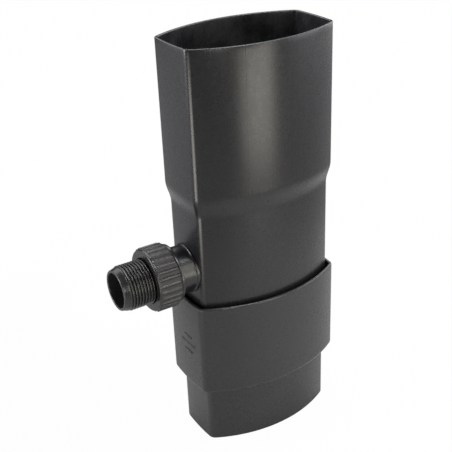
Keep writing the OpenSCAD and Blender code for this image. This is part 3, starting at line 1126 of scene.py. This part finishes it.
def place_floor(stage):
    """A wide floor just under the foot, white to the camera and pale to everything else."""
    half = stage.floor / 2
    corners = [(-half, -half, 0), (half, -half, 0), (half, half, 0), (-half, half, 0)]
    mesh = bpy.data.meshes.new("floor")
    mesh.from_pydata(corners, [], [(0, 1, 2, 3)])
    new_object("floor", mesh)
    material = bpy.data.materials.new("floor_paper")
    material.use_nodes = True
    tree = material.node_tree
    w = Wiring(tree)
    place = w.add("ShaderNodeTexCoord").outputs["Object"]
    reach = w.add("ShaderNodeVectorMath", {0: place}, operation="LENGTH").outputs["Value"]
    x = w.add("ShaderNodeSeparateXYZ", {0: place}).outputs[0]
    far = w.spread(reach, stage.sheet_from, stage.sheet_to)
    left = w.spread(x, -stage.left_from, -stage.left_to)
    tint = w.mix(
        w.math("MAXIMUM", far, left), (*stage.sheet_colour, 1.0), (*stage.floor_colour, 1.0)
    )
    paper = tree.nodes["Principled BSDF"]
    w.feed(paper, {"Base Color": tint, "Roughness": 0.9, "Specular IOR Level": 0.1})
    glow = w.add("ShaderNodeEmission", {"Strength": 1.0})
    seen = w.add("ShaderNodeLightPath").outputs["Is Camera Ray"]
    white = w.math("ADD", WHITE_NEAR, w.math("MULTIPLY", far, WHITE_FAR))
    feeds = {0: w.math("MULTIPLY", seen, white), 1: paper.outputs[0], 2: glow.outputs[0]}
    mix = w.add("ShaderNodeMixShader", feeds)
    w.feed(tree.nodes["Material Output"], {"Surface": mix.outputs[0]})
    mesh.materials.append(material)


def surround(stage):
    """A white room to the camera, and a dim one to the object."""
    world = bpy.data.worlds.new("studio")
    world.use_nodes = True
    bpy.context.scene.world = world
    w = Wiring(world.node_tree)
    seen = w.add("ShaderNodeLightPath").outputs["Is Camera Ray"]
    strength = w.spread(seen, 0.0, 1.0, stage.surround, 1.0)
    back = world.node_tree.nodes["Background"]
    w.feed(back, {"Strength": strength, "Color": (1.0, 1.0, 1.0, 1.0)})


class DIVERTER_PT_sizes(Panel):
    """Sizes and colours of the diverter"""

    bl_idname = "DIVERTER_PT_sizes"
    bl_label = "Rainwater diverter"
    bl_space_type = "VIEW_3D"
    bl_region_type = "UI"
    bl_category = "Diverter"

    def draw(self, context):
        for name, _ in GROUPS:
            box = self.layout.box()
            box.label(text=name.capitalize())
            group = settings(name)
            for key in group.bl_rna.properties.keys():
                if key not in {"rna_type", "name"}:
                    box.prop(group, key)
        for step in STEPS:
            self.layout.operator(step.bl_idname)


GROUPS = (
    ("oval", OvalSizes),
    ("body", BodySizes),
    ("coupler", CouplerSizes),
    ("outlet", OutletSizes),
    ("nut", NutSizes),
    ("insert", InsertSizes),
    ("marks", MarkSizes),
    ("finish", FinishColours),
    ("stage", StageSizes),
)
STEPS = (
    DIVERTER_OT_body,
    DIVERTER_OT_coupler,
    DIVERTER_OT_insert,
    DIVERTER_OT_tail,
    DIVERTER_OT_nut,
    DIVERTER_OT_marks,
    DIVERTER_OT_finishes,
    DIVERTER_OT_stage,
)


def register():
    for name, group in GROUPS:
        bpy.utils.register_class(group)
        setattr(bpy.types.Scene, "diverter_" + name, PointerProperty(type=group))
    for step in STEPS:
        bpy.utils.register_class(step)
    bpy.utils.register_class(DIVERTER_PT_sizes)


def unregister():
    bpy.utils.unregister_class(DIVERTER_PT_sizes)
    for step in reversed(STEPS):
        bpy.utils.unregister_class(step)
    for name, group in reversed(GROUPS):
        delattr(bpy.types.Scene, "diverter_" + name)
        bpy.utils.unregister_class(group)


def main():
    """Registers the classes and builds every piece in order."""
    register()
    bpy.ops.diverter.body()
    bpy.ops.diverter.coupler()
    bpy.ops.diverter.insert()
    bpy.ops.diverter.tail()
    bpy.ops.diverter.nut()
    bpy.ops.diverter.marks()
    bpy.ops.diverter.finishes()
    bpy.ops.diverter.stage()


if __name__ == "__main__":
    main()
